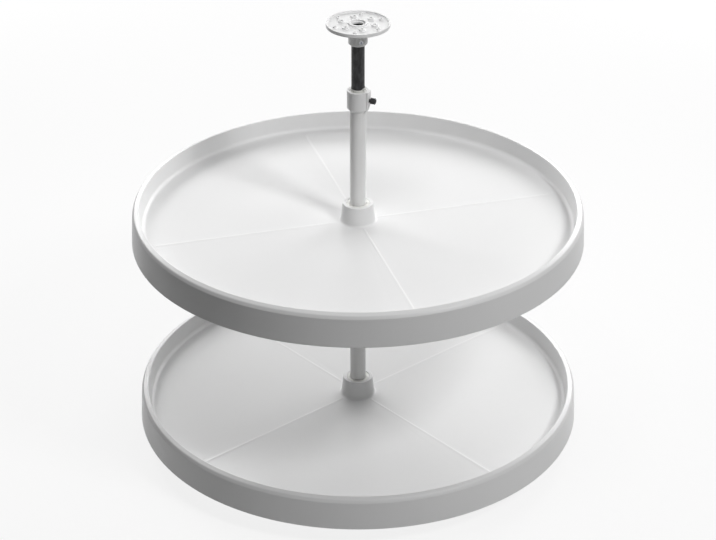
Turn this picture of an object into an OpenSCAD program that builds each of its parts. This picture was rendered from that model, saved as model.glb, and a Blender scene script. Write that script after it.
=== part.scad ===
// Full-round two-shelf turntable on a telescoping post, in millimetres.
// The post's axis is the Z axis, Z is up, and z = 0 is the floor that the post stands on.
// The shelves turn freely, the mast slides in the post, and the upper shelf's collar slides on it.

/* [Shelves] */
// Outside diameter of a shelf at its lip
shelf_d = 711; // [500:1:760]
// Height of the rim's outer skirt
skirt_h = 53; // [46:0.5:62]
// How far the skirt leans out from lip to foot
skirt_flare = 2.5; // [0.5:0.1:4]
// Wall thickness of a shelf
shelf_wall = 3; // [2:0.1:3.6]
// Width of the crowned lip
lip_w = 11; // [9:0.5:14]
// How far the lip falls from its inner edge to its shoulder
lip_fall = 2.6; // [1.5:0.1:4]
// Width of the lip's shoulder
shoulder_w = 3; // [2:0.5:4]
// Height of the lip's shoulder
shoulder_h = 4.7; // [3:0.1:7]
// Depth of the shelf floor below the lip
dish_depth = 30; // [26:0.5:34]
// How far the rim's inner wall leans in from lip to floor
inner_wall_lean = 3.8; // [1:0.1:8]
// Radius of the hollow where that wall meets the floor
foot_fillet = 7; // [4:0.5:10]
// Height from the lower shelf to the upper one
shelf_pitch = 321; // [200:1:390]
// Angle of the lower shelf's moulding lines, at rest
lower_turn = 41; // [0:1:89]
// Angle of the upper shelf's moulding lines, at rest
upper_turn = 16; // [0:1:89]

/* [Shelf lines and ribs] */
// Width of the low lines on the shelf floor
line_w = 4; // [1.6:0.1:6]
// Height of the low lines on the shelf floor
line_h = 0.3; // [0.2:0.1:1]
// Number of lines on a shelf floor, with twice as many ribs beneath
line_count = 4; // [3:1:6]
// Thickness of a rib
rib_t = 2.2; // [1.6:0.1:3]
// Depth of a rib below the shelf floor's underside, at the hub
rib_depth = 7; // [5:0.5:9]
// Depth of the same rib at the rim
rib_end_depth = 4; // [3:0.5:5]
// Radius of the ring rib
ring_rib_r = 165; // [120:1:200]

/* [Hubs] */
// Diameter of a hub at its top
hub_top_d = 48; // [45:0.5:54]
// Diameter of a hub where it meets the shelf floor
hub_base_d = 56; // [55:0.5:66]
// Height of a hub above the lip
hub_rise = 0.5; // [0.5:0.5:8]
// Length of the hub below the shelf floor's top face
hub_drop = 18; // [14:0.5:22]
// Outside diameter of the bushings
bushing_d = 37; // [34:0.5:38]
// Length of the top bushing
top_bushing_l = 12; // [8:0.5:14]
// Length of the bottom bushing inside the hub
bottom_bushing_l = 10; // [6:0.5:12]
// Diameter of the bottom bushing's flange
bushing_flange_d = 42; // [40:0.5:44]
// Thickness of the bottom bushing's flange
bushing_flange_t = 2; // [1.5:0.1:3]
// Width of the slit in the top bushing
bushing_slit = 1.4; // [0.8:0.1:2.5]
// Thickness of a slip washer
washer_t = 1.5; // [1:0.1:3]
// Diameter of a slip washer
washer_d = 39; // [37:0.5:42]

/* [Post] */
// Outside diameter of the post tube
post_d = 25.4; // [24:0.1:26]
// Wall of the post tube
post_wall = 1.2; // [1:0.1:1.4]
// Height of the post tube's top end
post_top = 597.5; // [560:0.5:620]
// Diameter of the support collar
support_d = 38; // [36:0.5:42]
// Height of the support collar
support_h = 15; // [12:0.5:20]
// Diameter of every set screw
set_screw_d = 6; // [4:0.5:6]

/* [Mast] */
// Outside diameter of the mast tube
mast_d = 20.6; // [19.6:0.1:20.8]
// Wall of the mast tube
mast_wall = 1.5; // [1.2:0.1:2]
// Length of the mast tube
mast_l = 240; // [200:1:300]
// Overall height at rest
overall_h = 711; // [670:1:760]
// Length of the guide plug below the mast tube
guide_l = 9; // [6:0.5:16]
// Length of the guide plug's spigot inside the mast tube
guide_spigot_l = 16; // [8:0.5:24]

/* [Clamp] */
// Outside diameter of the clamp collar
clamp_d = 34.4; // [33.5:0.1:38]
// Height of the clamp collar
clamp_h = 33.5; // [28:0.5:38]
// Chamfer at the foot of the clamp collar
clamp_chamfer = 4; // [2:0.5:4]
// How far the clamp collar's top stands above the post tube
clamp_over = 2; // [1.5:0.1:4]
// Direction of the clamp screw
clamp_turn = -20; // [-90:1:90]
// How far the clamp screw's axis lies below the collar's top
clamp_screw_drop = 15; // [12:0.5:18]
// Distance of the boss face from the post's axis
boss_reach = 18.8; // [18.4:0.1:24]
// Width of the boss
boss_w = 15; // [14:0.5:17]
// Height of the slope under the boss
boss_slope = 15; // [12:0.5:17]
// Diameter of the clamp screw's thread
clamp_screw_d = 6; // [5:0.5:6]
// Diameter of the clamp screw's head
clamp_head_d = 9.6; // [9:0.1:12]
// Length of the clamp screw's head
clamp_head_l = 8; // [6:0.5:12]
// Length of thread in view between the boss and the head
clamp_neck = 2; // [1:0.5:8]
// Side of the square nut
nut_w = 10; // [9:0.5:10.5]
// Thickness of the square nut
nut_t = 3.2; // [2.5:0.1:3.2]
// Width of the pressure pad
pad_w = 11.5; // [8:0.5:12]
// Height of the pressure pad
pad_h = 30; // [24:0.5:32]
// How far the pressure pad stands above the clamp collar
pad_over = 5.5; // [4:0.5:8]
// How far the post's end bushing stands above the clamp collar
bush_neck_h = 3.5; // [1:0.5:6]
// Wall of that part of the bushing
bush_neck_t = 0.9; // [0.6:0.1:1.2]

/* [Flanges] */
// Diameter of both flanges
flange_d = 98; // [92:1:120]
// Thickness of a flange at its rim
flange_t = 5.7; // [4.4:0.1:7]
// Depth of the dish in a flange's fixing face
flange_dish = 2.4; // [1:0.1:2.6]
// Width of the raised rim round that face
flange_rim_w = 2; // [1.5:0.1:4]
// Height of the bottom flange with its socket
bottom_flange_h = 33; // [28:0.5:40]
// Height of the top flange with its socket
top_flange_h = 35.5; // [30:0.5:42]
// Wall of a flange's socket
socket_wall = 4.6; // [3.6:0.1:6]
// Chamfer round the socket's mouth
socket_chamfer = 2.5; // [1:0.1:2.8]
// Depth of the recess in the middle of the fixing face
recess_depth = 3; // [2:0.1:4]
// Thickness of the ledge that the tube stands against
ledge_t = 2.2; // [1.5:0.1:3]
// Number of screw holes in a flange
hole_count = 6; // [3:1:6]
// Pitch circle of the screw holes
hole_pcd = 53; // [52:1:60]
// Diameter of a screw hole
hole_d = 5; // [4:0.5:5.5]
// Pitch circle of the pilot holes
pilot_pcd = 76; // [75:1:80]
// Diameter of a pilot hole
pilot_d = 3; // [2:0.5:3.5]
// Direction of the first screw hole
hole_turn = 43; // [0:1:59]
// Angle from a screw hole to its pilot hole
pilot_turn = -20; // [-30:1:-15]
// Width of the notch in the flange's rim
rim_notch = 4; // [2:0.5:8]
// Direction of a flange's set screw
flange_screw_turn = -70; // [-180:1:180]

/* [Fits] */
// Radial clearance where one piece turns or slides on another
running = 0.1; // [0.05:0.01:0.1]
// Radial clearance where a piece is held fast
snug = 0.05; // [0.02:0.01:0.1]
// Radial clearance of a hole that a screw only passes through
passing = 0.4; // [0.3:0.1:0.6]

/* [Hidden] */
$fn = 128;
cut = 1;                      // how far a cutter runs past the face that it cuts
arc_steps = 6;                // straight steps in each rounded corner of an outline

white = [0.93, 0.93, 0.93];
nylon = [0.88, 0.88, 0.86];
steel = [0.70, 0.71, 0.73];
dark = [0.16, 0.16, 0.17];

// Shelf outline: radii, and heights below the lip
lip_r = shelf_d / 2;
inner_lip_r = lip_r - lip_w;
wall_foot_r = inner_lip_r - inner_wall_lean;
floor_r = wall_foot_r - foot_fillet;
hub_bore_r = bushing_d / 2 + snug;
hub_low_r = hub_top_d / 2 - 1;
floor_under = -dish_depth - shelf_wall;
hub_foot = -dish_depth - hub_drop;
rim_web = 9;                  // depth of the solid lip above the hollow of the rim
mouth_chamfer = 1.2;          // chamfer of a hub's or bushing's mouth

// Heights of the stack on the post
post_r = post_d / 2;
post_bore_r = post_r - post_wall;
tube_foot = recess_depth + ledge_t;
lower_rim_z = bottom_flange_h + washer_t + bushing_flange_t + hub_drop + dish_depth;
upper_rim_z = lower_rim_z + shelf_pitch;
support_top = upper_rim_z + hub_foot - bushing_flange_t - washer_t;

// Mast
mast_r = mast_d / 2;
mast_bore_r = mast_r - mast_wall;
mast_top = overall_h - recess_depth - ledge_t;
mast_foot = mast_top - mast_l;

// Clamp
clamp_top = post_top + clamp_over;
clamp_foot = clamp_top - clamp_h;
clamp_r = clamp_d / 2;
clamp_bore_r = post_r + snug;
bush_l = 26;                  // length of the end bushing inside the post
bush_lip_t = 1.2;             // thickness of the end bushing's lip on the post's end
pad_top = clamp_top + pad_over;
pad_in_r = mast_r + running;
pad_out_r = post_r + snug + 0.2;
pad_foot = pad_top - pad_h;
clamp_axis_z = clamp_top - clamp_screw_drop;
nut_in_r = pad_out_r + 0.1;
nut_out_r = nut_in_r + nut_t;
clamp_head_r = boss_reach + clamp_neck;
knurl_count = 20;
knurl_r = 0.55;

// Unit vector along v
function unit(v) = v / norm(v);

// Angle from a to b, the short way round
function short_sweep(a, b) = (b - a > 180) ? b - a - 360 : (b - a < -180) ? b - a + 360 : b - a;

// Points of the arc of radius r that rounds corner b between its neighbours a and c
function rounded(a, b, c, r) =
    let (u = unit(a - b), v = unit(c - b), half = acos(u * v) / 2,
         centre = b + unit(u + v) * r / sin(half),
         start = b + u * r / tan(half) - centre, end = b + v * r / tan(half) - centre,
         from = atan2(start.y, start.x), sweep = short_sweep(from, atan2(end.y, end.x)))
    [for (i = [0:arc_steps]) centre + r * [cos(from + sweep * i / arc_steps), sin(from + sweep * i / arc_steps)]];

// Outline through corners [x, y, radius], with each corner that has a radius rounded
function outline(corners) =
    let (n = len(corners), at = function (i) [corners[i % n].x, corners[i % n].y])
    [for (i = [0:n - 1]) each corners[i][2] > 0 ? rounded(at(i + n - 1), at(i), at(i + 1), corners[i][2]) : [at(i)]];

// Turns children so that their +Z axis points out from the post's axis at angle a and height z
module radially(a, z) translate([0, 0, z]) rotate([0, 0, a]) rotate([0, 90, 0]) children();

// Ring about the Z axis, from its foot up
module ring(r_out, r_in, h) difference() {
    cylinder(r = r_out, h = h);
    translate([0, 0, -cut]) cylinder(r = r_in, h = h + 2 * cut);
}

// Cross-section of a shelf, from its hub's bore to its skirt, with y = 0 at the lip
module shelf_section() {
    inner_back_r = inner_lip_r + shelf_wall;
    polygon(outline([
        [hub_bore_r, hub_foot, 0],
        [hub_bore_r, hub_rise - mouth_chamfer, 0],
        [hub_bore_r + mouth_chamfer, hub_rise, 0],
        [hub_top_d / 2, hub_rise, 1],
        [hub_base_d / 2, -dish_depth, 3.5],
        [wall_foot_r, -dish_depth, foot_fillet],
        [inner_lip_r, 0, 1.5],
        [lip_r - shoulder_w, -lip_fall, 4],
        [lip_r, -lip_fall - shoulder_h, 4],
        [lip_r + skirt_flare, -skirt_h, 0.8],
        [lip_r + skirt_flare - shelf_wall, -skirt_h, 0.8],
        [lip_r - shelf_wall, -rim_web, 0.8],
        [inner_back_r - inner_wall_lean * rim_web / dish_depth, -rim_web, 0.8],
        [wall_foot_r + shelf_wall, floor_under, foot_fillet + shelf_wall],
        [hub_low_r, floor_under, 2],
        [hub_low_r, hub_foot, 0.8]]));
}

// Outline of one rib, which hangs from the middle of the shelf's wall
module rib_section() {
    mid = shelf_wall / 2;
    polygon([
        [hub_low_r - 1, -dish_depth - mid],
        [floor_r, -dish_depth - mid],
        [floor_r, floor_under - rib_end_depth],
        [hub_low_r - 1, floor_under - rib_depth]]);
}

// One shelf, with its lip at height z and its first line at angle turn
module shelf(z, turn) translate([0, 0, z]) rotate([0, 0, turn]) {
    rotate_extrude() shelf_section();
    for (i = [0:line_count - 1]) rotate([0, 0, i * 360 / line_count])
        translate([hub_base_d / 2 + 1, -line_w / 2, -dish_depth - shelf_wall / 2])
            cube([floor_r - hub_base_d / 2 - 8, line_w, shelf_wall / 2 + line_h]);
    for (i = [0:2 * line_count - 1]) rotate([0, 0, i * 180 / line_count])
        rotate([90, 0, 0]) linear_extrude(rib_t, center = true) rib_section();
    translate([0, 0, floor_under - rib_end_depth])
        ring(ring_rib_r + rib_t / 2, ring_rib_r - rib_t / 2, rib_end_depth + shelf_wall / 2);
}

// Split ring in the mouth of a hub whose lip is at height z
module top_bushing(z, turn) color(nylon) translate([0, 0, z + hub_rise - 0.8 - top_bushing_l]) difference() {
    rotate_extrude() polygon([
        [post_r + running, 0], [bushing_d / 2, 0],
        [bushing_d / 2, top_bushing_l - mouth_chamfer / 2], [bushing_d / 2 - mouth_chamfer / 2, top_bushing_l],
        [post_r + running + mouth_chamfer, top_bushing_l], [post_r + running, top_bushing_l - mouth_chamfer]]);
    rotate([0, 0, turn]) translate([post_r - 1, -bushing_slit / 2, -cut])
        cube([bushing_d / 2, bushing_slit, top_bushing_l + 2 * cut]);
}

// Flanged bushing at the foot of a hub whose lip is at height z
module bottom_bushing(z) color(nylon) translate([0, 0, z + hub_foot - bushing_flange_t]) {
    ring(bushing_flange_d / 2, post_r + running, bushing_flange_t);
    ring(bushing_d / 2, post_r + running, bushing_flange_t + bottom_bushing_l);
}

// Slip washer with its foot at height z
module washer(z) color(nylon) translate([0, 0, z]) ring(washer_d / 2, post_r + 3 * running, washer_t);

// Socket set screw with its point at the inner radius, lying along a radius
module set_screw(in_r, out_r, a, z) color(steel) radially(a, z) translate([0, 0, in_r]) difference() {
    union() {
        cylinder(d1 = set_screw_d - 2, d2 = set_screw_d, h = 1);
        translate([0, 0, 1]) cylinder(d = set_screw_d, h = out_r - in_r - 1);
    }
    translate([0, 0, out_r - in_r - 2.5]) cylinder(d = set_screw_d / 2, h = 2.5 + cut, $fn = 6);
}

// Holes for screws and pilots, drilled along +Z from the fixing face, with heads sunk in the far side
module flange_holes() for (i = [0:hole_count - 1]) rotate([0, 0, hole_turn + i * 360 / hole_count]) {
    translate([hole_pcd / 2, 0, -cut]) cylinder(d = hole_d, h = flange_t + 2 * cut);
    translate([hole_pcd / 2, 0, flange_t - hole_d / 4]) cylinder(d1 = hole_d, d2 = hole_d * 2, h = hole_d / 2);
    rotate([0, 0, pilot_turn]) translate([pilot_pcd / 2, 0, -cut]) cylinder(d = pilot_d, h = flange_t + 2 * cut);
}

// Bosses that carry those holes up to the fixing face
module flange_bosses() for (i = [0:hole_count - 1]) rotate([0, 0, hole_turn + i * 360 / hole_count]) {
    translate([hole_pcd / 2, 0, 0]) cylinder(d = hole_d * 2, h = flange_t - 1);
    rotate([0, 0, pilot_turn]) translate([pilot_pcd / 2, 0, 0]) cylinder(d = pilot_d * 2, h = flange_t - 1);
}

// Flange of height h for a tube of radius tube_r, whose bore is bore_r: fixing face at z = 0, socket along +Z
module flange(tube_r, bore_r, h) {
    socket_r = tube_r + snug + socket_wall;
    stop_r = bore_r - 0.5;
    difference() {
        union() {
            rotate_extrude() polygon(outline([
                [stop_r, recess_depth, 0],
                [tube_r + 1, recess_depth, 0],
                [tube_r + 1, 0, 0],
                [socket_r, 0, 0],
                [socket_r, flange_dish, 0],
                [flange_d / 2 - flange_rim_w, flange_dish, 0],
                [flange_d / 2 - flange_rim_w, 0, 0],
                [flange_d / 2, 0, 0],
                [flange_d / 2, flange_t, 1],
                [socket_r, flange_t, 2],
                [socket_r, h - socket_chamfer, 0],
                [socket_r - socket_chamfer, h, 0],
                [tube_r + snug, h, 0],
                [tube_r + snug, tube_foot, 0],
                [stop_r, tube_foot, 0]]));
            flange_bosses();
        }
        flange_holes();
        translate([flange_d / 2 - flange_rim_w - cut, -rim_notch / 2, -cut])
            cube([flange_rim_w + 2 * cut, rim_notch, flange_dish + cut]);
    }
}

// Height of the set screw above the fixing face of a flange of height h
function flange_screw_z(h) = h - socket_chamfer - set_screw_d / 2 - 2;

// Bore for a flange's set screw
module flange_screw_bore(tube_r, z) radially(flange_screw_turn, z)
    translate([0, 0, tube_r - cut]) cylinder(d = set_screw_d + 2 * snug, h = socket_wall + 3 * cut);

module bottom_flange() color(white) difference() {
    flange(post_r, post_bore_r, bottom_flange_h);
    flange_screw_bore(post_r, flange_screw_z(bottom_flange_h));
}

module bottom_flange_screw()
    set_screw(post_r + 0.02, post_r + socket_wall - 0.6, flange_screw_turn, flange_screw_z(bottom_flange_h));

module top_flange() color(white) translate([0, 0, overall_h]) difference() {
    mirror([0, 0, 1]) flange(mast_r, mast_bore_r, top_flange_h);
    flange_screw_bore(mast_r, -flange_screw_z(top_flange_h));
}

module top_flange_screw()
    set_screw(mast_r + 0.02, mast_r + socket_wall - 0.6, flange_screw_turn, overall_h - flange_screw_z(top_flange_h));

module outer_tube() color(white) difference() {
    translate([0, 0, tube_foot]) ring(post_r, post_bore_r, post_top - tube_foot);
    pad_slot(snug);
}

// Slot for the pressure pad, open at the top of the post
module pad_slot(gap) rotate([0, 0, clamp_turn]) translate([0, -pad_w / 2 - gap, pad_foot - gap])
    cube([post_d, pad_w + 2 * gap, pad_h + 2 * clamp_over + 2 * gap]);

module tube_end_bushing() color(nylon) difference() {
    union() {
        translate([0, 0, post_top - bush_l]) ring(post_bore_r - snug, mast_r + running, bush_l);
        translate([0, 0, post_top]) ring(post_r - snug, mast_r + running, bush_lip_t);
        translate([0, 0, post_top])
            ring(mast_r + running + bush_neck_t, mast_r + running, clamp_over + bush_neck_h);
    }
    pad_slot(snug);
}

module clamp_pad() color(nylon) intersection() {
    translate([0, 0, pad_foot]) ring(pad_out_r, pad_in_r, pad_h);
    pad_slot(0);
}

module clamp_collar() color(white) difference() {
    union() {
        translate([0, 0, clamp_foot]) rotate_extrude() polygon(outline([
            [clamp_bore_r, 0, 0],
            [clamp_r - clamp_chamfer, 0, 0],
            [clamp_r, clamp_chamfer * 1.2, 0],
            [clamp_r, clamp_h, 0.8],
            [clamp_bore_r, clamp_h, 0]]));
        clamp_boss();
    }
    translate([0, 0, clamp_foot - cut]) cylinder(r = clamp_bore_r, h = clamp_h + 2 * cut);
    rotate([0, 0, clamp_turn]) translate([0, -pad_w / 2 - snug, pad_foot - snug])
        cube([pad_out_r + snug, pad_w + 2 * snug, clamp_h]);
    radially(clamp_turn, clamp_axis_z) {
        translate([0, 0, clamp_bore_r - cut]) cylinder(d = clamp_screw_d + 2 * passing, h = boss_reach);
        translate([-nut_w / 2 - snug, -nut_w / 2 - snug, 0]) cube([nut_w + 2 * snug, nut_w + 2 * snug, nut_out_r]);
    }
}

// Boss on the collar, with rounded upright corners and a foot that slopes back into the collar
module clamp_boss() {
    corner_r = 1.5;
    difference() {
        translate([0, 0, clamp_foot]) linear_extrude(clamp_h) rotate([0, 0, clamp_turn]) {
            translate([0, -boss_w / 2]) square([boss_reach - corner_r, boss_w]);
            translate([0, -boss_w / 2 + corner_r]) square([boss_reach, boss_w - 2 * corner_r]);
            for (side = [-1, 1]) translate([boss_reach - corner_r, side * (boss_w / 2 - corner_r)])
                circle(corner_r);
        }
        rotate([0, 0, clamp_turn]) translate([0, 0, clamp_foot]) rotate([90, 0, 0])
            linear_extrude(boss_w + 2 * cut, center = true) polygon([
                [clamp_bore_r - 2 * cut, -cut],
                [clamp_r - 1, clamp_chamfer],
                [boss_reach + cut, boss_slope],
                [boss_reach + cut, -cut]]);
        translate([0, 0, clamp_foot - cut]) cylinder(r = clamp_bore_r + 1, h = clamp_h + 2 * cut);
    }
}

module clamp_nut() color(steel) radially(clamp_turn, clamp_axis_z) translate([0, 0, nut_in_r]) difference() {
    translate([-nut_w / 2, -nut_w / 2, 0]) cube([nut_w, nut_w, nut_t]);
    translate([0, 0, -cut]) cylinder(r = clamp_screw_d / 2 + running / 2, h = nut_t + 2 * cut);
}

module clamp_screw() color(steel) radially(clamp_turn, clamp_axis_z) difference() {
    union() {
        translate([0, 0, nut_in_r]) cylinder(d = clamp_screw_d, h = clamp_head_r - nut_in_r);
        translate([0, 0, clamp_head_r]) rotate_extrude() polygon([
            [0, 0], [clamp_head_d / 2 - 0.8, 0], [clamp_head_d / 2, 0.8],
            [clamp_head_d / 2, clamp_head_l - 1], [clamp_head_d / 2 - 1, clamp_head_l], [0, clamp_head_l]]);
    }
    for (i = [0:knurl_count - 1]) rotate([0, 0, i * 360 / knurl_count])
        translate([clamp_head_d / 2 + knurl_r * 0.4, 0, clamp_head_r - cut])
            cylinder(r = knurl_r, h = clamp_head_l + 2 * cut, $fn = 16);
    translate([0, 0, clamp_head_r + clamp_head_l - 1]) cylinder(d = clamp_head_d * 0.55, h = 1 + cut);
}

module lower_washer() washer(bottom_flange_h);

module upper_washer() washer(support_top);

module lower_tray() color(white) shelf(lower_rim_z, lower_turn);

module upper_tray() color(white) shelf(upper_rim_z, upper_turn);

module lower_top_bushing() top_bushing(lower_rim_z, -118);

module upper_top_bushing() top_bushing(upper_rim_z, -118);

module lower_bottom_bushing() bottom_bushing(lower_rim_z);

module upper_bottom_bushing() bottom_bushing(upper_rim_z);

module support_collar() color(steel) difference() {
    translate([0, 0, support_top - support_h]) rotate_extrude() polygon(outline([
        [post_r + running, 0, 0], [support_d / 2, 0, 1], [support_d / 2, support_h, 1], [post_r + running, support_h, 0]]));
    radially(clamp_turn, support_top - support_h / 2)
        translate([0, 0, post_r - cut]) cylinder(d = set_screw_d + 2 * snug, h = support_d / 2);
}

module support_collar_screw()
    set_screw(post_r + running, support_d / 2 - 0.8, clamp_turn, support_top - support_h / 2);

module inner_tube() color(dark) translate([0, 0, mast_foot]) ring(mast_r, mast_bore_r, mast_l);

module mast_guide() color(nylon) translate([0, 0, mast_foot - guide_l]) difference() {
    union() {
        cylinder(r1 = post_bore_r - 1.5, r2 = post_bore_r - running, h = 1.4);
        translate([0, 0, 1.4]) cylinder(r = post_bore_r - running, h = guide_l - 1.4);
        cylinder(r = mast_bore_r - snug, h = guide_l + guide_spigot_l);
    }
    translate([0, 0, -cut]) cylinder(r = mast_bore_r - 2.5, h = guide_l + guide_spigot_l + 2 * cut);
}

bottom_flange();
bottom_flange_screw();
outer_tube();
tube_end_bushing();
clamp_collar();
clamp_nut();
clamp_pad();
clamp_screw();
lower_washer();
lower_tray();
lower_top_bushing();
lower_bottom_bushing();
support_collar();
support_collar_screw();
upper_washer();
upper_tray();
upper_top_bushing();
upper_bottom_bushing();
inner_tube();
mast_guide();
top_flange();
top_flange_screw();
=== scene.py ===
import math

import bmesh
import bpy
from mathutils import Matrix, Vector


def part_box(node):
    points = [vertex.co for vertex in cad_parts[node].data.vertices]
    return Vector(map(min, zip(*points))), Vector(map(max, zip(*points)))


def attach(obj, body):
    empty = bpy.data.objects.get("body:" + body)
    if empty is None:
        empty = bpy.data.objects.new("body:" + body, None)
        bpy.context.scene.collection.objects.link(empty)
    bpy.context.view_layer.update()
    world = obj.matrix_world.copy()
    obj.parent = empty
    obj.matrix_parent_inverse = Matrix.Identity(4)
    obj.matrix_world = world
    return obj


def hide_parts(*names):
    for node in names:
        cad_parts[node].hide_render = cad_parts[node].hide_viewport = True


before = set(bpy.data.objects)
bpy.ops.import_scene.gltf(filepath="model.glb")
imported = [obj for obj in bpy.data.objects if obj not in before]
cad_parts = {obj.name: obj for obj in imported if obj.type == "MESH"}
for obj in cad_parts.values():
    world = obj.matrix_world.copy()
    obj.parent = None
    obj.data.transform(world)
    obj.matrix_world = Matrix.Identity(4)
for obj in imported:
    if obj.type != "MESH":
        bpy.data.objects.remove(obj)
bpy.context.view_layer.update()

bl_info = {
    "name": "Two-shelf pantry turntable",
    "version": (1, 0, 0),
    "blender": (4, 5, 0),
    "location": "3D View > Sidebar > Turntable",
    "description": "Models a full-round pantry turntable on a telescoping post, with its finishes and stage",
    "category": "Object",
}

MM = 0.001
UP = Vector((0.0, 0.0, 1.0))
FIT = 0.05 * MM  # clearance on each side between fitted pieces
SPARE = 1 * MM  # how far a cutting tool or a joined shape reaches past the face that it meets
SAME_PLACE = 1e-6  # places no further apart than this, in metres, are one
ROUNDING_STEPS = 14  # facets of a rounding, for each half turn
ROD_SIDES = 48
ALONG = 0.99  # cosine past which an edge or a face counts as pointing along an axis
SMOOTH_BELOW = math.radians(32)  # edges between faces that meet at less than this are smoothed
NOISE = {"From Min": 0.3, "From Max": 0.7}  # where nearly all of a noise's values lie


# ---------------------------------------------------------------- settings

def linear(code):
    """Turn an sRGB hex value, such as "#e8e8e6", into linear red, green and blue."""
    parts = (int(code[i:i + 2], 16) / 255 for i in (1, 3, 5))
    return tuple(v / 12.92 if v <= 0.04045 else ((v + 0.055) / 1.055) ** 2.4 for v in parts)


def size(name, description, millimetres):
    """Make a setting for a length, given in millimetres and kept in metres."""
    return bpy.props.FloatProperty(name=name, description=description, default=millimetres * MM,
                                   unit="LENGTH", subtype="DISTANCE", precision=4)


def turn(name, description, degrees):
    """Make a setting for an angle, given in degrees."""
    return bpy.props.FloatProperty(name=name, description=description, default=math.radians(degrees),
                                   unit="ROTATION", subtype="ANGLE")


def amount(name, description, default, low=0.0, high=1.0):
    """Make a setting for a plain number."""
    return bpy.props.FloatProperty(name=name, description=description, default=default, min=low, max=high)


def watts(name, description, power):
    """Make a setting for a lamp's power."""
    return bpy.props.FloatProperty(name=name, description=description, default=power, min=0.0, unit="POWER")


def number(name, description, default):
    """Make a setting for a count."""
    return bpy.props.IntProperty(name=name, description=description, default=default, min=1)


def tint(name, description, code):
    """Make a setting for a colour, given as an sRGB hex value."""
    return bpy.props.FloatVectorProperty(name=name, description=description, default=linear(code),
                                         subtype="COLOR", size=3, min=0.0, max=1.0)


class TraySettings(bpy.types.PropertyGroup):
    """Sizes of the two trays"""
    rim_radius: size("Rim radius", "Outside radius of a tray at its lip", 355.5)
    skirt_height: size("Skirt height", "Height of the rim's outer skirt", 53)
    skirt_flare: size("Skirt flare", "How far the skirt leans out from lip to foot", 2.5)
    wall: size("Wall", "Thickness of a tray's wall", 3)
    lip_width: size("Lip width", "Width of the crowned lip", 11)
    lip_fall: size("Lip fall", "How far the lip falls from its inner edge to its shoulder", 2.6)
    shoulder_width: size("Shoulder width", "Width of the lip's shoulder", 3)
    shoulder_height: size("Shoulder height", "Height of the lip's shoulder", 4.7)
    dish_depth: size("Dish depth", "Depth of the tray's floor below the lip", 30)
    wall_lean: size("Wall lean", "How far the inner wall leans in from lip to floor", 3.8)
    foot_fillet: size("Foot fillet", "Radius of the hollow where the inner wall meets the floor", 7)
    rim_web: size("Rim web", "Depth of the solid lip above the hollow of the rim", 9)
    hub_rise: size("Hub rise", "Height of the hub above the lip", 0.5)
    hub_drop: size("Hub drop", "Length of the hub below the floor's top face", 18)
    hub_top: size("Hub top radius", "Radius of the hub at its top", 24)
    hub_step: size("Hub step", "How much slimmer the hub is below the floor than at its top", 1)
    hub_base: size("Hub base radius", "Radius of the hub where it meets the floor", 28)
    hub_bore: size("Hub bore radius", "Radius of the bore that takes the bushings", 18.55)
    mouth_chamfer: size("Mouth chamfer", "Chamfer round the hub's mouth", 1.2)
    line_count: number("Lines", "Low moulding lines on a tray's floor, with twice as many ribs beneath", 4)
    line_width: size("Line width", "Width of a moulding line at the floor", 5)
    line_crest: size("Line crest", "Width of a moulding line at its top", 1.6)
    line_height: size("Line height", "Height of a moulding line", 0.3)
    line_gap: size("Line gap", "Distance from a line's end to the edge of the flat floor", 8)
    rib_thickness: size("Rib thickness", "Thickness of a rib under the floor", 2.2)
    rib_depth: size("Rib depth", "Depth of a rib below the floor at the hub", 7)
    rib_end_depth: size("Rib end depth", "Depth of a rib below the floor at the rim", 4)
    ring_rib_radius: size("Ring rib radius", "Radius of the round rib under the floor", 165)
    lower_turn: turn("Lower tray turn", "Direction of the lower tray's first line", 41)
    upper_turn: turn("Upper tray turn", "Direction of the upper tray's first line", 16)


class BushingSettings(bpy.types.PropertyGroup):
    """Sizes of the split bushings in the hubs' mouths"""
    radius: size("Radius", "Outside radius of a bushing", 18.5)
    bore: size("Bore radius", "Radius of a bushing's bore", 12.8)
    chamfer: size("Chamfer", "Chamfer round the bore's mouth", 1.2)
    slit: size("Slit", "Width of the slit", 1.4)
    slit_turn: turn("Slit direction", "Direction of the slit round the post", -118)


class PostSettings(bpy.types.PropertyGroup):
    """Sizes of the post tube, the mast tube and the liner between them"""
    post_radius: size("Post radius", "Outside radius of the post tube", 12.7)
    post_wall: size("Post wall", "Wall of the post tube", 1.2)
    mast_radius: size("Mast radius", "Outside radius of the mast tube", 10.3)
    mast_wall: size("Mast wall", "Wall of the mast tube", 1.5)
    liner_gap: size("Liner gap", "Clearance of the liner round the mast", 0.1)
    liner_lip: size("Liner lip", "Thickness of the liner's lip on the post's end", 1.2)
    liner_neck: size("Liner neck", "Wall of the liner's neck above that lip", 0.9)


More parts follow.
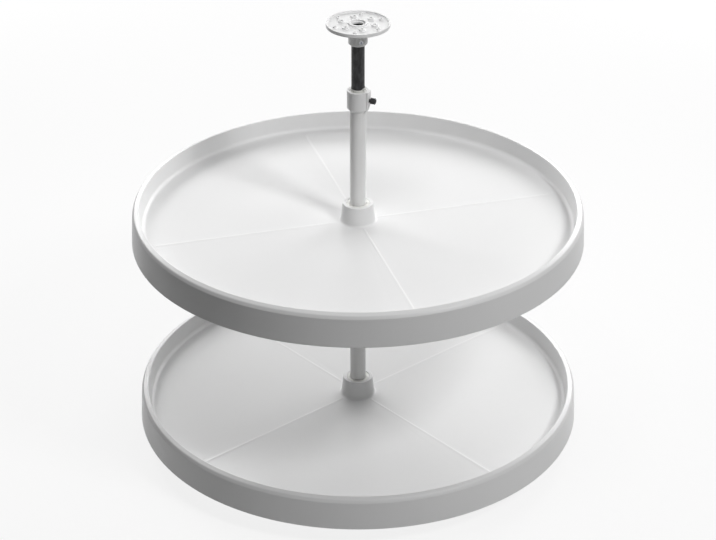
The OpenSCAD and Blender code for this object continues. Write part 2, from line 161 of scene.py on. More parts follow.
class ClampSettings(bpy.types.PropertyGroup):
    """Sizes of the clamp collar, its pressure pad and its thumb screw"""
    radius: size("Collar radius", "Outside radius of the collar", 17.2)
    bore: size("Collar bore", "Radius of the collar's bore", 12.75)
    chamfer: size("Foot chamfer", "Chamfer round the collar's foot", 4)
    direction: turn("Direction", "Direction of the thumb screw", -20)
    boss_reach: size("Boss reach", "Distance of the boss's face from the axis", 18.8)
    boss_width: size("Boss width", "Width of the boss", 15)
    boss_slope: size("Boss slope", "Height over which the boss slopes out from the collar's foot", 15)
    pad_width: size("Pad width", "Width of the pressure pad", 11.5)
    pad_step: size("Pad step", "How far the pressure pad stands into the collar past its bore", 0.2)
    pocket_width: size("Pocket width", "Width and height of the nut's pocket", 10.1)
    pocket_reach: size("Pocket reach", "Distance of the pocket's far end from the axis", 16.3)
    thread_radius: size("Thread radius", "Outside radius of the thumb screw's thread", 3)
    thread_pitch: size("Thread pitch", "Distance from one thread to the next", 1)
    head_radius: size("Head radius", "Radius of the thumb screw's head", 4.8)
    head_length: size("Head length", "Length of the thumb screw's head", 8)
    neck: size("Neck", "Length of thread between the boss and the head", 2)
    knurls: number("Knurls", "Grooves round the thumb screw's head", 20)


class FlangeSettings(bpy.types.PropertyGroup):
    """Sizes of the two fixing flanges"""
    radius: size("Radius", "Radius of a flange", 49)
    thickness: size("Thickness", "Thickness of a flange at its rim", 5.7)
    dish: size("Dish", "Depth of the dish in the fixing face", 2.4)
    rim: size("Rim width", "Width of the raised rim round that face", 2)
    floor_height: size("Floor flange height", "Height of the floor flange with its socket", 33)
    ceiling_height: size("Ceiling flange height", "Height of the ceiling flange with its socket", 35.5)
    socket_wall: size("Socket wall", "Wall of the socket", 4.6)
    socket_chamfer: size("Socket chamfer", "Chamfer round the socket's mouth", 2.5)
    recess: size("Recess", "Depth of the recess in the middle of the fixing face", 3)
    ledge: size("Ledge", "Thickness of the ledge that the tube stands against", 2.2)
    holes: number("Holes", "Screw holes in a flange, with as many pilot holes", 6)
    hole_circle: size("Hole circle", "Radius of the circle of screw holes", 26.5)
    hole_radius: size("Hole radius", "Radius of a screw hole", 2.5)
    pilot_circle: size("Pilot circle", "Radius of the circle of pilot holes", 38)
    pilot_radius: size("Pilot radius", "Radius of a pilot hole", 1.5)
    hole_turn: turn("Hole direction", "Direction of the first screw hole", 43)
    pilot_turn: turn("Pilot direction", "Angle from a screw hole to its pilot hole", -20)
    notch: size("Notch", "Width of the notch in the rim", 4)
    screw_turn: turn("Set screw direction", "Direction of the set screw in the socket", -70)


class FinishSettings(bpy.types.PropertyGroup):
    """Colours of the finishes"""
    tray: tint("Tray", "Colour of the trays' polymer", "#eaeaea")
    moulding: tint("Moulding", "Colour of the flanges' and collar's polymer", "#eaeaea")
    powder: tint("Powder coat", "Colour of the post tube's powder coat", "#eeeeed")
    black: tint("Black coat", "Colour of the mast tube's coat", "#2c2c2e")
    # paler colour painted along the trays' moulding lines, as the highlight that they catch
    weld: tint("Line highlight", "Colour painted along the trays' moulding lines as their highlight", "#efefef")
    nylon: tint("Nylon", "Colour of the bushings, liner, guide, pad and washers", "#ebebe7")
    zinc: tint("Zinc plate", "Colour of the plated steel", "#a8abb0")
    oxide: tint("Black oxide", "Colour of the blackened screws", "#3a3a3c")


class StageSettings(bpy.types.PropertyGroup):
    """Camera, light and floor"""
    lens: amount("Lens", "Focal length in millimetres", 108.44, 10, 500)
    sensor: amount("Sensor", "Width of the camera's sensor in millimetres", 36, 10, 100)
    camera_place: bpy.props.FloatVectorProperty(
        name="Camera place", description="Where the camera stands", default=(0.0, -3.0316, 1.9578),
        size=3, unit="LENGTH", subtype="TRANSLATION")
    camera_pitch: turn("Camera pitch", "How far the camera is raised from looking straight down", 61.0945)
    floor_colour: tint("Floor", "Colour of the floor", "#f2f2f2")
    floor_sheet: tint("Sheet", "Colour of the pale sheet round the object, as the object sees it", "#dedede")
    floor_far: tint("Far floor", "Colour of the floor beyond that sheet, as the object sees it", "#303030")
    sheet_radius: size("Sheet radius", "Radius of the pale sheet", 1250)
    floor_glow: amount("Floor glow", "Share of plain white that the camera sees in the floor", 0.85)
    sky: amount("Sky", "Strength of the even light from all round", 0.03, 0, 10)
    key: watts("Key lamp", "Power of the soft lamp at the front right", 38.5)
    high: watts("High lamp", "Power of the small lamp close above the front", 2.7)
    back: watts("Back lamp", "Power of the wide soft lamp behind", 24)
    back_right: watts("Back right lamp", "Power of the low soft lamp behind at the right", 25)
    back_left: watts("Back left lamp", "Power of the low soft lamp behind at the left", 22)
    near_right: watts("Near right lamp", "Power of the small lamp close behind at the right", 3)
    near_left: watts("Near left lamp", "Power of the small lamp close behind at the left", 3)


# ---------------------------------------------------------------- modelling tools

def deselect():
    """Leave nothing selected, because an operator acts on all that is."""
    if bpy.context.object and bpy.context.object.mode != "OBJECT":
        bpy.ops.object.mode_set(mode="OBJECT")
    bpy.ops.object.select_all(action="DESELECT")


def alone(piece):
    """Select one piece and make it the active one."""
    deselect()
    piece.select_set(True)
    bpy.context.view_layer.objects.active = piece


def settle(piece):
    """Put a piece's place, turn and scale into its mesh, so that its object sits at the origin."""
    alone(piece)
    bpy.ops.object.transform_apply(location=True, rotation=True, scale=True)
    return piece


def edit(piece):
    """Open a piece in edit mode, ready to select vertices."""
    alone(piece)
    bpy.ops.object.mode_set(mode="EDIT")
    bpy.ops.mesh.select_mode(type="VERT")


def done():
    """Close edit mode."""
    bpy.ops.object.mode_set(mode="OBJECT")


def pick(kind, test):
    """Select, in edit mode, each VERT, EDGE or FACE that passes a test of its middle and its direction."""
    bpy.ops.mesh.select_all(action="DESELECT")
    bpy.ops.mesh.select_mode(type=kind)
    shape = bmesh.from_edit_mesh(bpy.context.object.data)
    shape.normal_update()
    if kind == "VERT":
        chosen = [v for v in shape.verts if test(v.co, v.normal)]
    elif kind == "EDGE":
        ends = [(edge, edge.verts[0].co, edge.verts[1].co) for edge in shape.edges]
        chosen = [edge for edge, here, there in ends if test((here + there) / 2, (there - here).normalized())]
    else:
        chosen = [f for f in shape.faces if test(f.calc_center_median(), f.normal)]
    for part in chosen:
        part.select_set(True)
    bmesh.update_edit_mesh(bpy.context.object.data)


def radius_of(place):
    """Give a point's distance from the post's axis."""
    return math.hypot(place.x, place.y)


def outward(direction, reach=1.0):
    """Give the place at a distance from the post's axis in one direction round it."""
    return Vector((math.cos(direction), math.sin(direction), 0)) * reach


def middle_height(node):
    """Give the height of a CAD node's middle."""
    low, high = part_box(node)
    return (low.z + high.z) / 2


def draw_outline(name, corners):
    """Draw a closed flat outline of (radius, height, rounding) corners, and stay in edit mode."""
    deselect()
    places = [Vector((radius, 0.0, height)) for radius, height, _ in corners]
    bpy.ops.mesh.primitive_plane_add(size=MM, location=places[0])
    piece = bpy.context.object
    piece.name = piece.data.name = name
    edit(settle(piece))
    bpy.ops.mesh.select_all(action="SELECT")
    bpy.ops.mesh.merge(type="CENTER")
    for here, there in zip(places, places[1:]):
        bpy.ops.mesh.extrude_vertices_move(TRANSFORM_OT_translate={"value": there - here})
    bpy.ops.mesh.select_all(action="SELECT")
    bpy.ops.mesh.edge_face_add()
    for i, (radius, height, rounding) in enumerate(corners):
        if rounding:
            here = places[i]
            half = (places[i - 1] - here).angle(places[(i + 1) % len(places)] - here) / 2
            pick("VERT", lambda place, _: (place - here).length < SAME_PLACE)
            bpy.ops.mesh.bevel(offset=rounding / math.tan(half), profile=0.5, affect="VERTICES",
                               segments=max(2, round(ROUNDING_STEPS * (math.pi - 2 * half) / math.pi)))
    return piece


def close_seams():
    """Merge doubled vertices, drop loose edges, turn all faces outwards and close edit mode."""
    bpy.ops.mesh.select_all(action="SELECT")
    bpy.ops.mesh.remove_doubles(threshold=SAME_PLACE)
    bpy.ops.mesh.delete_loose(use_verts=True, use_edges=True, use_faces=False)
    bpy.ops.mesh.select_all(action="SELECT")
    bpy.ops.mesh.normals_make_consistent(inside=False)
    done()


def turned(name, corners, steps=128):
    """Model a round piece from half of its section, as (radius, height, rounding) corners."""
    piece = draw_outline(name, corners)
    bpy.ops.mesh.select_all(action="SELECT")
    bpy.ops.mesh.delete(type="ONLY_FACE")
    bpy.ops.mesh.select_all(action="SELECT")
    bpy.ops.mesh.spin(steps=steps, angle=2 * math.pi, center=(0, 0, 0), axis=UP, use_auto_merge=True)
    close_seams()
    return piece


def sleeve(name, node, inside, outside, rounding):
    """Model a plain round sleeve as tall as its CAD node, with its outer edges rounded."""
    low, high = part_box(node)
    return turned(name, [(inside, low.z, 0.3 * MM), (outside, low.z, rounding),
                         (outside, high.z, rounding), (inside, high.z, 0.3 * MM)])


def repeat_round(piece, count):
    """Repeat a piece's mesh round the post's axis, with count of them in all."""
    edit(piece)
    bpy.ops.mesh.select_all(action="SELECT")
    bpy.ops.mesh.spin(steps=count - 1, dupli=True, angle=2 * math.pi * (count - 1) / count,
                      center=(0, 0, 0), axis=UP)
    done()
    return piece


def block(name, low, high, direction=0.0):
    """Add a block between two corners, turned round the post's axis."""
    deselect()
    low, high = Vector(low), Vector(high)
    bpy.ops.mesh.primitive_cube_add(size=1.0, location=(low + high) / 2, scale=high - low)
    piece = bpy.context.object
    piece.name = piece.data.name = name
    settle(piece)
    piece.rotation_euler.z = direction
    return settle(piece)


def rod(name, place, radius, length, top_radius=None, direction=None):
    """Add a rod or cone by the middle of its length, upright or lying along a direction."""
    deselect()
    bpy.ops.mesh.primitive_cone_add(vertices=ROD_SIDES, radius1=radius,
                                    radius2=radius if top_radius is None else top_radius,
                                    depth=length, location=place,
                                    rotation=(0, 0, 0) if direction is None else (0, math.pi / 2, direction))
    piece = bpy.context.object
    piece.name = piece.data.name = name
    return settle(piece)


def combine(piece, tool, operation):
    """Add a tool's solid to a piece (UNION), cut it away (DIFFERENCE) or keep what both share (INTERSECT)."""
    alone(piece)
    change = piece.modifiers.new("Combine", "BOOLEAN")
    change.operation, change.object, change.solver = operation, tool, "EXACT"
    bpy.ops.object.modifier_apply(modifier=change.name)
    bpy.data.objects.remove(tool)


def copy_to(pattern, name, height, direction=0.0):
    """Copy a shape with a mesh of its own, turn it round the post's axis and raise it."""
    alone(pattern)
    bpy.ops.object.duplicate()
    piece = bpy.context.object
    piece.name = piece.data.name = name
    piece.rotation_euler.z = direction
    piece.location.z = height
    return settle(piece)


def dress(piece, body, slot, material, *nodes):
    """Smooth a finished piece, give it its finish, tie it to its body and hide the CAD nodes that it stands
    for; the slot is not used.
    """
    alone(piece)
    bpy.ops.object.shade_smooth_by_angle(angle=SMOOTH_BELOW)
    flatten = piece.modifiers.new("Keep flat faces flat", "WEIGHTED_NORMAL")
    flatten.keep_sharp = True
    bpy.ops.object.modifier_apply(modifier=flatten.name)
    piece.data.materials.clear()
    piece.data.materials.append(material)
    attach(piece, body)
    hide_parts(*nodes)
    deselect()


# ---------------------------------------------------------------- finishes

def new_finish(name, settings):
    """Start a material and give its nodes and its main shader, with sockets that are the same all over."""
    material = bpy.data.materials.new(name)
    material.use_nodes = True
    shader = material.node_tree.nodes["Principled BSDF"]
    for socket, value in settings.items():
        shader.inputs[socket].default_value = value
    return material, material.node_tree, shader


def add_node(tree, kind, settings, links):
    """Add a node, set its settings and plain sockets, and link its sockets from the ones given."""
    node = tree.nodes.new(kind)
    for key, value in settings.items():
        if isinstance(key, int) or key in node.inputs:
            node.inputs[key].default_value = value
        else:
            setattr(node, key, value)
    feed(tree, node, links)
    return node


def feed(tree, node, links):
    """Link a node's sockets from the ones given."""
    for key, source in links.items():
        tree.links.new(source, node.inputs[key])


def opaque(colour, share=1.0):
    """Give a colour with its alpha, darkened or lightened by a share."""
    return (*(part * share for part in colour), 1)


def painted_line_highlights(tree, place, tray_turn):
    """Give 1 along a tray's four lines, where a paler colour is painted as the highlight that the low ridges
    catch, and 0 elsewhere.
    """
    square = add_node(tree, "ShaderNodeMapping", {"Rotation": (0, 0, -tray_turn)}, {"Vector": place})
    split = add_node(tree, "ShaderNodeSeparateXYZ", {}, {0: square.outputs["Vector"]})
    across = add_node(tree, "ShaderNodeMath", {"operation": "ABSOLUTE"}, {0: split.outputs["X"]}).outputs[0]
    along = add_node(tree, "ShaderNodeMath", {"operation": "ABSOLUTE"}, {0: split.outputs["Y"]}).outputs[0]
    aside = add_node(tree, "ShaderNodeMath", {"operation": "MINIMUM"}, {0: across, 1: along}).outputs[0]
    reach = add_node(tree, "ShaderNodeMath", {"operation": "MAXIMUM"}, {0: across, 1: along}).outputs[0]
    # the painted highlight fades out 1 to 3.2 mm beside the line's middle, and at its ends by the hub and by
    # the rim
    near = add_node(tree, "ShaderNodeMapRange",
                    {"interpolation_type": "SMOOTHSTEP", "From Min": 1.0 * MM, "From Max": 3.2 * MM,
                     "To Min": 1.0, "To Max": 0.0}, {"Value": aside}).outputs[0]
    from_hub = add_node(tree, "ShaderNodeMapRange",
                        {"From Min": 30 * MM, "From Max": 60 * MM}, {"Value": reach}).outputs[0]
    to_rim = add_node(tree, "ShaderNodeMapRange",
                      {"From Min": 318 * MM, "From Max": 327 * MM, "To Min": 1.0, "To Max": 0.0},
                      {"Value": reach}).outputs[0]
    floor = add_node(tree, "ShaderNodeMath", {"operation": "MULTIPLY"}, {0: from_hub, 1: to_rim}).outputs[0]
    return add_node(tree, "ShaderNodeMath", {"operation": "MULTIPLY"}, {0: near, 1: floor}).outputs[0]


def streaks(tree, place, width, length, detail):
    """Give a noise whose spots have a width across the post's axis and a length along it."""
    scale = (1 / width, 1 / width, 1 / length)
    stretched = add_node(tree, "ShaderNodeMapping", {"Scale": scale}, {"Vector": place})
    return add_node(tree, "ShaderNodeTexNoise", {"Scale": 1.0, "Detail": detail},
                    {"Vector": stretched.outputs[0]}).outputs["Fac"]


def moulded(name, colour, roughness, clouding, grain_mm, grain_depth_mm, weld=None, tray_turn=0.0):
    """Injection-moulded polymer: an even colour, and the soft satin that a spark-eroded mould leaves."""
    material, tree, shader = new_finish(name, {"IOR": 1.5})
    place = add_node(tree, "ShaderNodeTexCoord", {}, {}).outputs["Object"]
    # flow of the melt: a hardly visible change of colour and gloss over some 90 mm
    flow = add_node(tree, "ShaderNodeTexNoise", {"Scale": 1 / (90 * MM), "Detail": 2.0, "Roughness": 0.4},
                    {"Vector": place}).outputs["Fac"]
    shade = add_node(tree, "ShaderNodeMix",
                     {"data_type": "RGBA", 6: opaque(colour, 1 - clouding), 7: opaque(colour)},
                     {0: flow}).outputs[2]
    # a paler colour painted along the tray's moulding lines, as the highlight that they catch
    if weld is not None:
        shade = add_node(tree, "ShaderNodeMix", {"data_type": "RGBA", 7: opaque(weld)},
                         {0: painted_line_highlights(tree, place, tray_turn), 6: shade}).outputs[2]
    # the grain is about 0.1 mm, too fine to show, so it is drawn coarser
    grain = add_node(tree, "ShaderNodeTexNoise", {"Scale": 1 / (grain_mm * MM), "Detail": 1.0},
                     {"Vector": place}).outputs["Fac"]
    gloss = add_node(tree, "ShaderNodeMapRange",
                     {**NOISE, "To Min": roughness - 0.05, "To Max": roughness + 0.05},
                     {"Value": flow}).outputs[0]
    bump = add_node(tree, "ShaderNodeBump", {"Strength": 0.35, "Distance": grain_depth_mm * MM},
                    {"Height": grain}).outputs[0]
    feed(tree, shader, {"Base Color": shade, "Roughness": gloss, "Normal": bump})
    return material


def powder_coat(name, colour):
    """Polyester powder coat baked on steel tube: white, half glossy, with a fine orange peel."""
    material, tree, shader = new_finish(name, {"IOR": 1.5, "Coat Weight": 0.25, "Coat Roughness": 0.2})
    place = add_node(tree, "ShaderNodeTexCoord", {}, {}).outputs["Object"]
    # orange peel, waves of about 1.5 mm
    peel = add_node(tree, "ShaderNodeTexNoise", {"Scale": 1 / (1.5 * MM), "Detail": 0.0},
                    {"Vector": place}).outputs["Fac"]
    # faint rubbing where the trays' bushings were slid down the tube
    rubbed = streaks(tree, place, 2.5 * MM, 166.7 * MM, 3.0)
    shade = add_node(tree, "ShaderNodeMix", {"data_type": "RGBA", 6: opaque(colour, 0.95), 7: opaque(colour)},
                     {0: rubbed}).outputs[2]
    gloss = add_node(tree, "ShaderNodeMapRange", {**NOISE, "To Min": 0.3, "To Max": 0.42},
                     {"Value": rubbed}).outputs[0]
    bump = add_node(tree, "ShaderNodeBump", {"Strength": 0.3, "Distance": 0.03 * MM},
                    {"Height": peel}).outputs[0]
    feed(tree, shader, {"Base Color": shade, "Roughness": gloss, "Normal": bump})
    return material


def black_coat(name, colour):
    """Black satin coat on drawn steel tube: faint draw lines along it, and paler and darker patches at
    random.
    """
    material, tree, shader = new_finish(name, {"IOR": 1.5, "Specular IOR Level": 0.3})
    place = add_node(tree, "ShaderNodeTexCoord", {}, {}).outputs["Object"]
    # draw lines
    drawn = streaks(tree, place, 2 * MM, 62.5 * MM, 3.0)
    # paler and darker patches at random, about 5 mm across and 12.5 mm long
    blotches = streaks(tree, place, 5 * MM, 12.5 * MM, 2.0)
    pale = add_node(tree, "ShaderNodeMapRange", {"From Min": 0.38, "From Max": 0.68}, {"Value": blotches})
    shade = add_node(tree, "ShaderNodeMix",
                     {"data_type": "RGBA", 6: opaque(colour, 0.5), 7: opaque(colour, 2.0)},
                     {0: pale.outputs[0]}).outputs[2]
    gloss = add_node(tree, "ShaderNodeMapRange", {**NOISE, "To Min": 0.32, "To Max": 0.5},
                     {"Value": drawn}).outputs[0]
    bump = add_node(tree, "ShaderNodeBump", {"Strength": 0.3, "Distance": 0.02 * MM},
                    {"Height": drawn}).outputs[0]
    feed(tree, shader, {"Base Color": shade, "Roughness": gloss, "Normal": bump})
    return material


def steel(name, colour, roughness):
    """Turned steel under a thin plate or oxide: metal all over, duller where the layer is thicker."""
    material, tree, shader = new_finish(name, {"Metallic": 1.0})
    place = add_node(tree, "ShaderNodeTexCoord", {}, {}).outputs["Object"]
    # grains of the layer, about 1 mm
    spangle = add_node(tree, "ShaderNodeTexNoise", {"Scale": 1 / (1.0 * MM), "Detail": 2.0},
                       {"Vector": place}).outputs["Fac"]
    shade = add_node(tree, "ShaderNodeMix", {"data_type": "RGBA", 6: opaque(colour, 0.8), 7: opaque(colour)},
                     {0: spangle}).outputs[2]
    gloss = add_node(tree, "ShaderNodeMapRange", {**NOISE, "To Min": roughness, "To Max": roughness + 0.14},
                     {"Value": spangle}).outputs[0]
    feed(tree, shader, {"Base Color": shade, "Roughness": gloss})
    return material


def polystyrene(s, which):
    """Moulded polystyrene of the "lower" or "upper" tray, with a painted highlight along its moulding lines.
    """
    tray_turn = getattr(bpy.context.scene.turntable_tray, which + "_turn")
    return moulded(f"Moulded polystyrene, satin white, {which} tray", s.tray, 0.42, 0.03, 0.9, 0.02,
                   s.weld, tray_turn)


FINISHES = {
    "lower_tray": lambda s: polystyrene(s, "lower"),
    "upper_tray": lambda s: polystyrene(s, "upper"),
    "moulding": lambda s: moulded("Moulded ABS, satin white", s.moulding, 0.38, 0.04, 0.7, 0.02),
    "powder": lambda s: powder_coat("White powder coat on steel tube", s.powder),
    "black": lambda s: black_coat("Black satin coat on drawn steel tube", s.black),
    "nylon": lambda s: moulded("Moulded nylon, natural", s.nylon, 0.34, 0.05, 0.6, 0.01),
    "zinc": lambda s: steel("Bright zinc plate on turned steel", s.zinc, 0.18),
    "oxide": lambda s: steel("Black oxide on turned steel", s.oxide, 0.3),
}


def finish(name):
    """Give one of the finishes, made the first time that it is asked for."""
    key = "turntable_" + name
    for material in bpy.data.materials:
        if material.get("turntable_finish") == key:
            return material
    material = FINISHES[name](bpy.context.scene.turntable_finish)
    material["turntable_finish"] = key
    return material


# ---------------------------------------------------------------- pieces

class TURNTABLE_OT_trays(bpy.types.Operator):
    """Model both trays, with their moulded lines above and their ribs beneath"""
    bl_idname = "turntable.trays"
    bl_label = "Trays"

    def execute(self, context):
        s = context.scene.turntable_tray
        floor, under = -s.dish_depth, -s.dish_depth - s.wall
        floor_radius = s.rim_radius - s.lip_width - s.wall_lean - s.foot_fillet
        hub_low = s.hub_top - s.hub_step
        tray = self.shell(s, floor, under, hub_low)
        combine(tray, self.lines(s, floor, floor_radius), "UNION")
        combine(tray, self.ribs(s, floor, under, hub_low, floor_radius), "UNION")
        combine(tray, self.ring_rib(s, floor, under), "UNION")
        for which, name in (("lower", "shelf_low"), ("upper", "shelf_high")):
            node = which + "_tray"
            piece = copy_to(tray, name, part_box(node)[1].z - s.hub_rise, getattr(s, which + "_turn"))
            dress(piece, which + "_shelf", "shelf_polymer", finish(node), node)
        bpy.data.objects.remove(tray)
        return {"FINISHED"}

    def shell(self, s, floor, under, hub_low):
        """Model a tray's closed shell: hub, floor, leaning wall, crowned lip and flared skirt."""
        inner_lip = s.rim_radius - s.lip_width
        wall_foot = inner_lip - s.wall_lean
        wall_back = inner_lip + s.wall - s.wall_lean * s.rim_web / s.dish_depth
        foot = s.rim_radius + s.skirt_flare
        hub_foot = floor - s.hub_drop
        edge, crown = 0.8 * MM, 4 * MM
        return turned("tray", [
            (s.hub_bore, hub_foot, 0),
            (s.hub_bore, s.hub_rise - s.mouth_chamfer, 0),
            (s.hub_bore + s.mouth_chamfer, s.hub_rise, 0.3 * MM),
            (s.hub_top, s.hub_rise, 1 * MM),
            (s.hub_base, floor, 3.5 * MM),
            (wall_foot, floor, s.foot_fillet),
            (inner_lip, 0, 1.5 * MM),
            (s.rim_radius - s.shoulder_width, -s.lip_fall, crown),
            (s.rim_radius, -s.lip_fall - s.shoulder_height, crown),
            (foot, -s.skirt_height, edge),
            (foot - s.wall, -s.skirt_height, edge),
            (s.rim_radius - s.wall, -s.rim_web, edge),
            (wall_back, -s.rim_web, edge),
            (wall_foot + s.wall, under, s.foot_fillet + s.wall),
            (hub_low, under, 2 * MM),
            (hub_low, hub_foot, edge)], steps=256)

    def lines(self, s, floor, floor_radius):
        """Model the low moulding lines on the floor."""
        # a line's sides slope down past the floor's top face, so that it meets the floor at its full width
        spread = s.line_crest + (s.line_width - s.line_crest) * (s.wall / 2 + s.line_height) / s.line_height
        lines = block("lines", (s.hub_base + SPARE, -spread / 2, floor - s.wall / 2),
                      (floor_radius - s.line_gap, spread / 2, floor + s.line_height))
        edit(lines)
        pick("FACE", lambda middle, normal: normal.z > ALONG)
        bpy.ops.transform.resize(value=(1, s.line_crest / spread, 1))
        pick("EDGE", lambda middle, along: abs(along.x) > ALONG and middle.z > floor)
        bpy.ops.mesh.bevel(offset=0.7 * MM, segments=3)
        done()
        return repeat_round(lines, s.line_count)

    def ribs(self, s, floor, under, hub_low, floor_radius):
        """Model the straight ribs under the floor, from the hub to the rim."""
        inside = floor - s.wall / 2
        ribs = draw_outline("ribs", [
            (hub_low - SPARE, inside, 0),
            (floor_radius, inside, 0),
            (floor_radius, under - s.rib_end_depth, 1 * MM),
            (hub_low - SPARE, under - s.rib_depth, 0)])
        bpy.ops.mesh.select_all(action="SELECT")
        bpy.ops.transform.translate(value=(0, -s.rib_thickness / 2, 0))
        bpy.ops.mesh.extrude_region_move(TRANSFORM_OT_translate={"value": (0, s.rib_thickness, 0)})
        close_seams()
        return repeat_round(ribs, 2 * s.line_count)

    def ring_rib(self, s, floor, under):
        """Model the round rib under the floor."""
        half, bottom, inside = s.rib_thickness / 2, under - s.rib_end_depth, floor - s.wall / 2
        return turned("ring_rib", [
            (s.ring_rib_radius - half, bottom, 0.4 * MM),
            (s.ring_rib_radius + half, bottom, 0.4 * MM),
            (s.ring_rib_radius + half, inside, 0),
            (s.ring_rib_radius - half, inside, 0)])


class TURNTABLE_OT_hub_bushings(bpy.types.Operator):
    """Model the split bushings in the mouths of both hubs"""
    bl_idname = "turntable.hub_bushings"
    bl_label = "Hub bushings"

    def execute(self, context):
        s = context.scene.turntable_bushing
        low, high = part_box("upper_top_bushing")
        length = high.z - low.z
        pattern = turned("split_bushing", [
            (s.bore, 0, 0.3 * MM),
            (s.radius, 0, 0.3 * MM),
            (s.radius, length - s.chamfer / 2, 0.2 * MM),
            (s.radius - s.chamfer / 2, length, 0.2 * MM),
            (s.bore + s.chamfer, length, 0.2 * MM),
            (s.bore, length - s.chamfer, 0.2 * MM)], steps=96)
        slit = block("slit", (s.bore - SPARE, -s.slit / 2, -SPARE),
                     (s.radius + SPARE, s.slit / 2, length + SPARE), s.slit_turn)
        combine(pattern, slit, "DIFFERENCE")
        for which, name in (("lower", "split_bushing_low"), ("upper", "split_bushing_high")):
            node = which + "_top_bushing"
            piece = copy_to(pattern, name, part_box(node)[0].z)
            dress(piece, which + "_shelf", "nylon", finish("nylon"), node)
        bpy.data.objects.remove(pattern)
        return {"FINISHED"}


class TURNTABLE_OT_tubes(bpy.types.Operator):
    """Model the post tube, the mast tube that slides in it, and the liner between them"""
    bl_idname = "turntable.tubes"
    bl_label = "Tubes"

    def execute(self, context):
        s, clamp = context.scene.turntable_post, context.scene.turntable_clamp
        post_bore = s.post_radius - s.post_wall
        post = sleeve("post_tube", "outer_tube", post_bore, s.post_radius, 0.3 * MM)
        combine(post, pad_slot(clamp, 2 * clamp.bore), "DIFFERENCE")
        dress(post, "post", "white_tube", finish("powder"), "outer_tube")
        mast = sleeve("mast_tube", "inner_tube", s.mast_radius - s.mast_wall, s.mast_radius, 0.4 * MM)
        dress(mast, "mast", "dark_tube", finish("black"), "inner_tube")
        liner = self.liner(s, post_bore)
        combine(liner, pad_slot(clamp, 2 * clamp.bore), "DIFFERENCE")
        dress(liner, "post", "nylon", finish("nylon"), "tube_end_bushing")
        return {"FINISHED"}

    def liner(self, s, post_bore):
        """Model the liner, with its lip on the post's end and its neck round the mast."""
        low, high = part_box("tube_end_bushing")
        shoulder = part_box("outer_tube")[1].z
        inside, lip = s.mast_radius + s.liner_gap, s.post_radius - FIT
        return turned("tube_liner", [
            (inside, low.z, 0.2 * MM),
            (post_bore - FIT, low.z, 0.2 * MM),
            (post_bore - FIT, shoulder, 0),
            (lip, shoulder, 0.2 * MM),
            (lip, shoulder + s.liner_lip, 0.3 * MM),
            (inside + s.liner_neck, shoulder + s.liner_lip, 0.3 * MM),
            (inside + s.liner_neck, high.z, 0.3 * MM),
            (inside, high.z, 0.3 * MM)])


def pad_slot(s, reach, gap=FIT):
    """Make the block that clears the pad's way out of the post's end, as far as reach from the axis."""
    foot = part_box("clamp_pad")[0].z - gap
    half = s.pad_width / 2 + gap
    past_top = 40 * MM
    return block("pad_slot", (0, -half, foot), (reach, half, foot + past_top), s.direction)


class TURNTABLE_OT_clamp_collar(bpy.types.Operator):
    """Model the clamp collar with the boss that its thumb screw goes through"""
    bl_idname = "turntable.clamp_collar"
    bl_label = "Clamp collar"

    def execute(self, context):
        s = context.scene.turntable_clamp
        low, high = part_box("clamp_collar")
        collar = turned("screw_collar", [
            (s.bore, low.z, 0.3 * MM),
            (s.radius - s.chamfer, low.z, 0.5 * MM),
            (s.radius, low.z + 1.2 * s.chamfer, 0.8 * MM),
            (s.radius, high.z, 0.8 * MM),
            (s.bore, high.z, 0.4 * MM)])
        combine(collar, self.boss(s, low.z, high.z), "UNION")
        combine(collar, pad_slot(s, s.bore + s.pad_step + FIT), "DIFFERENCE")
        axis, half = middle_height("clamp_nut"), s.pocket_width / 2
        pocket = block("pocket", (0, -half, axis - half), (s.pocket_reach, half, axis + half), s.direction)
        combine(collar, pocket, "DIFFERENCE")
        clearance, middle, length = 0.4 * MM, 20 * MM, 12 * MM
        way = rod("screw_way", outward(s.direction, middle) + UP * axis, s.thread_radius + clearance, length,
                  direction=s.direction)
        combine(collar, way, "DIFFERENCE")
        dress(collar, "post", "white_polymer", finish("moulding"), "clamp_collar")
        return {"FINISHED"}

    def boss(self, s, foot, top):
        """Model the boss, cut to its slope below and rounded at its face and its top."""
        start, face_rounding, top_rounding = s.bore + 0.5 * MM, 1.5 * MM, 0.6 * MM
        boss = block("boss", (start, -s.boss_width / 2, foot), (s.boss_reach, s.boss_width / 2, top))
        edit(boss)
        slope_from = Vector((s.radius - 1 * MM, 0, foot + s.chamfer))
        slope = (Vector((s.boss_reach, 0, foot + s.boss_slope)) - slope_from).normalized()
        bpy.ops.mesh.select_all(action="SELECT")
        bpy.ops.mesh.bisect(plane_co=slope_from, plane_no=Vector((0, 1, 0)).cross(slope), use_fill=True,
                            clear_inner=False, clear_outer=True)
        pick("EDGE", lambda middle, along: abs(along.z) > ALONG and middle.x > s.boss_reach - SAME_PLACE)
        bpy.ops.mesh.bevel(offset=face_rounding, segments=6)
        pick("EDGE", lambda middle, along: middle.z > top - SAME_PLACE and middle.x > s.bore + 1 * MM)
        bpy.ops.mesh.bevel(offset=top_rounding, segments=4)
        close_seams()
        boss.rotation_euler.z = s.direction
        return settle(boss)


class TURNTABLE_OT_pressure_pad(bpy.types.Operator):
    """Model the curved pad that the thumb screw presses on the mast"""
    bl_idname = "turntable.pressure_pad"
    bl_label = "Pressure pad"

    def execute(self, context):
        s, post = context.scene.turntable_clamp, context.scene.turntable_post
        inside, outside = post.mast_radius + post.liner_gap, s.bore + s.pad_step
        pad = sleeve("pressure_pad", "clamp_pad", inside, outside, 0.5 * MM)
        combine(pad, pad_slot(s, 2 * s.bore, 0.0), "INTERSECT")
        dress(pad, "post", "nylon", finish("nylon"), "clamp_pad")
        return {"FINISHED"}


